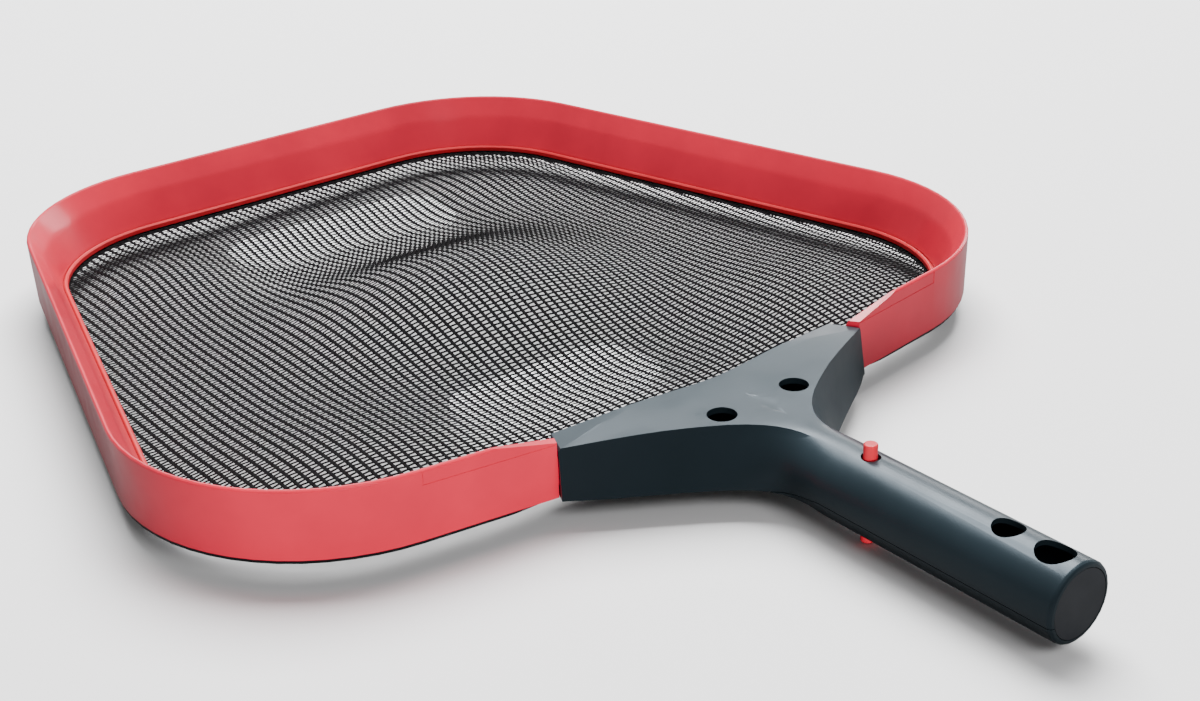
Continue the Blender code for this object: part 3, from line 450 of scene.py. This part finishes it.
def inside_runs(x, y, z, across):
    """The stretches of a strand that lie inside the rings, with the directions across it."""
    line = np.stack([x, y, z], -1)
    inside = edge_distance(x, y) > -TUCKED_IN
    runs, start = [], None
    for i, good in enumerate(inside):
        if good and start is None:
            start = i
        if (not good or i == len(inside) - 1) and start is not None:
            stop = i + 1 if good else i
            if stop - start >= FEWEST_POINTS:
                runs.append((line[start:stop], across[start:stop]))
            start = None
    return runs


def strands_along():
    """The strands that run to the leading edge."""
    strands = []
    y = np.arange(ALONG_FROM, ALONG_TO, ALONG_STEP)
    for column in ALONG_COLUMNS:
        x = np.full_like(y, column * ALONG_PITCH)
        slope = height(x + SLOPE_STEP, y) - height(x - SLOPE_STEP, y)
        across = np.stack([np.ones_like(x), np.zeros_like(x), slope], -1)
        strands += inside_runs(x, y, height(x, y), across)
    return strands


def strands_across():
    """The strands that run across the net, with a point at each strand that they cross."""
    strands = []
    x = ALONG_PITCH * np.array(ALONG_COLUMNS)
    for row in ACROSS_ROWS:
        y = np.full_like(x, row * ACROSS_PITCH)
        lift = WEAVE_LIFT * np.where((np.arange(len(x)) + row) % 2 == 0, 1.0, -1.0)
        slope = height(x, y + SLOPE_STEP) - height(x, y - SLOPE_STEP)
        across = np.stack([np.zeros_like(x), -np.ones_like(x), -slope], -1)
        strands += inside_runs(x, y, height(x, y) + lift, across)
    return strands


def hem_piece(mat):
    """The flat hem that the rings clamp, all the way round."""
    line = ring_line(HEM_INSET)
    tangent = unit(np.roll(line, -1, axis=0) - np.roll(line, 1, axis=0))
    inward = np.stack([tangent[:, 1], -tangent[:, 0]], -1)
    wide, thick = HEM_HALF
    section = ((-wide, -thick), (-wide, thick), (wide, thick), (wide, -thick))
    points, faces = [], []
    for (x, y), (in_x, in_y) in zip(line, inward):
        points += [(x + in_x * a, y + in_y * a, NET_Z + b) for a, b in section]
    for i in range(len(line)):
        here = i * 4
        there = (i + 1) % len(line) * 4
        for k in range(4):
            after = (k + 1) % 4
            faces.append([here + k, there + k, there + after, here + after])
    return mesh_object("net_hem", points, faces, mat, smooth=False)


def net():
    """The woven net and its hem, in place of the CAD lattice."""
    mat = strand("net_filament", NET_BLACK)
    points, faces = tape_mesh(strands_along(), ALONG_HALF, ALONG_SIDES)
    more_points, more_faces = tape_mesh(strands_across(), ACROSS_HALF, ACROSS_SIDES, len(points))
    weave = mesh_object("net_weave", np.concatenate([points, more_points]), faces + more_faces, mat)
    hem = hem_piece(mat)
    for piece in (weave, hem):
        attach(piece, "head")
    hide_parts("net")


# ------------------------------------------------------------------ films

# Faces across and along each film.
FILM_GRID = (72, 34)
FILM_BELOW_NET = 0.95
FILM_THICKNESS = 0.25
# Painted light: the films glow though they are no lamp, so they show brighter than the lamps make
# them.
FILM_GLOW = 1.4
FILM_FRONT = {"middle": (0.0, 180.0), "size": (114.0, 47.0), "radius": 18.0}
FILM_REAR = {"middle": (-18.0, -16.5), "size": (90.0, 42.0), "radius": 16.0}


def film(name, node, mat, middle, size, radius):
    """A thin pale film just under the net, with round corners, that follows the net's folds."""
    across, along = FILM_GRID
    top, bottom = [], []
    for j in range(along + 1):
        y = middle[1] + size[1] * (j / along - 0.5)
        past = max(0.0, abs(y - middle[1]) - (size[1] / 2 - radius))
        half = size[0] / 2 - radius + math.sqrt(max(0.0, radius ** 2 - past ** 2))
        xs = middle[0] + half * (2 * np.arange(across + 1) / across - 1)
        ys = np.full_like(xs, y)
        zs = height(xs, ys) - FILM_BELOW_NET
        top.append(np.stack([xs, ys, zs], -1))
        bottom.append(np.stack([xs, ys, zs - FILM_THICKNESS], -1))
    row = across + 1
    below = row * (along + 1)
    first = (np.arange(along)[:, None] * row + np.arange(across)[None, :]).reshape(-1)
    upper = np.stack([first, first + 1, first + row + 1, first + row], -1)
    lower = upper[:, ::-1] + below
    front = list(range(row))
    right = [(j + 1) * row - 1 for j in range(1, along + 1)]
    back = [along * row + i for i in range(row - 2, -1, -1)]
    left = [j * row for j in range(along - 1, 0, -1)]
    edge = np.array(front + right + back + left)
    after = np.roll(edge, -1)
    wall = np.stack([edge, edge + below, after + below, after], -1)
    faces = upper.tolist() + lower.tolist() + wall.tolist()
    obj = mesh_object(name, np.concatenate(top + bottom), faces, mat)
    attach(obj, "head")
    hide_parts(node)
    obj.visible_shadow = False


def films():
    """The two pale films that shine through the net. They glow, as the photo's bars are bright."""
    mat = moulded("patch_film", FILM_WHITE, rough=0.5, spread=0.04)
    principled = mat.node_tree.nodes["Principled BSDF"]
    # Painted light: the films glow though they are no lamp.
    principled.inputs["Emission Color"].default_value = (1.0, 1.0, 1.0, 1.0)
    principled.inputs["Emission Strength"].default_value = FILM_GLOW
    film("film_front", "net_patch_front", mat, **FILM_FRONT)
    film("film_rear", "net_patch_rear", mat, **FILM_REAR)


# ------------------------------------------------------------------ floor and lights

# Half the floor's side, and how far it lies below the lowest pin.
FLOOR_HALF = 6.0
FLOOR_DROP = 0.0003
# The floor's colour as the camera sees it, and as it lights the part.
FLOOR_SEEN = (0.78, 0.78, 0.785, 1.0)
FLOOR_LIT = (0.17, 0.17, 0.171)

WORLD_LIGHT = 0.24
# Each lamp's place, the point that it faces, the size of its panel and its power in watts.
KEY = {"at": (0.62, 0.75, 1.85), "to": (0, 0, 0), "size": (1.7, 1.7), "power": 190.0}
FRONT = {"at": (-0.28, -0.50, 0.07), "to": (-0.12, -0.08, 0.015), "size": (0.2, 0.08), "power": 3.5}
FILL = {"at": (-0.3, -1.1, 0.9), "to": (0, 0.1, 0.02), "size": (0.6, 0.4), "power": 9.0}
SIDE = {"at": (1.5, 0.7, 0.4), "to": (-0.1, 0.1, 0.02), "size": (1.2, 0.35), "power": 8.0}
BACK = {"at": (0.95, 1.25, 0.75), "to": (0, 0, 0.02), "size": (1.4, 0.5), "power": 2.0}
FRONT_LIGHTS = ("rim_frame", "net_clamp_ring", "lock_pin_top", "lock_pin_bottom")


def floor():
    """A pale floor. It throws less light back on the part than the camera sees of it."""
    half = FLOOR_HALF
    mesh = bpy.data.meshes.new("floor")
    corners = [(-half, -half, 0), (half, -half, 0), (half, half, 0), (-half, half, 0)]
    mesh.from_pydata(corners, [], [(0, 1, 2, 3)])
    obj = bpy.data.objects.new("floor", mesh)
    obj.location = (0, 0, -FLOOR_DROP)
    bpy.context.scene.collection.objects.link(obj)
    mat, tree, principled = shader("floor_white", FLOOR_LIT, rough=0.8)
    principled.inputs["Specular IOR Level"].default_value = 0.1
    seen = tree.nodes.new("ShaderNodeBsdfDiffuse")
    seen.inputs["Color"].default_value = FLOOR_SEEN
    path = tree.nodes.new("ShaderNodeLightPath")
    mix = tree.nodes.new("ShaderNodeMixShader")
    tree.links.new(path.outputs["Is Camera Ray"], mix.inputs["Fac"])
    tree.links.new(principled.outputs["BSDF"], mix.inputs[1])
    tree.links.new(seen.outputs["BSDF"], mix.inputs[2])
    tree.links.new(mix.outputs["Shader"], tree.nodes["Material Output"].inputs["Surface"])
    mesh.materials.append(mat)


def lamp(name, at, to, size, power, glossy=True):
    """A soft rectangular lamp of so many watts, which the camera doesn't see."""
    data = bpy.data.lights.new(name, "AREA")
    data.shape = "RECTANGLE"
    data.size, data.size_y = size
    data.energy = power
    obj = bpy.data.objects.new(name, data)
    obj.location = at
    obj.rotation_euler = (Vector(to) - Vector(at)).to_track_quat("-Z", "Y").to_euler()
    obj.visible_camera = False
    obj.visible_glossy = glossy
    bpy.context.scene.collection.objects.link(obj)
    return obj


def light_only(lamps, name, pieces):
    """Lamps that light the given pieces and nothing else."""
    group = bpy.data.collections.new(name)
    for piece in pieces:
        group.objects.link(piece)
    for obj in lamps:
        obj.light_linking.receiver_collection = group


def lights():
    """An even studio light, a big key above the far right, and four small lamps."""
    world = bpy.data.worlds.new("studio")
    world.use_nodes = True
    background = world.node_tree.nodes["Background"]
    background.inputs["Color"].default_value = (1, 1, 1, 1)
    background.inputs["Strength"].default_value = WORLD_LIGHT
    bpy.context.scene.world = world
    lamp("key", **KEY)
    front = lamp("front", **FRONT, glossy=False)
    lamp("fill", **FILL, glossy=False)
    side = lamp("side", **SIDE)
    back = lamp("back", **BACK)
    meshes = [obj for obj in bpy.context.scene.objects if obj.type == "MESH"]
    light_only([side, back], "part_only", [obj for obj in meshes if obj.name != "floor"])
    light_only([front], "rim_only", [NODES[name] for name in FRONT_LIGHTS])


camera()
dress()
for rounded, below in ROUND_BELOW.items():
    round_shading(NODES[rounded], below)
net()
films()
floor()
lights()
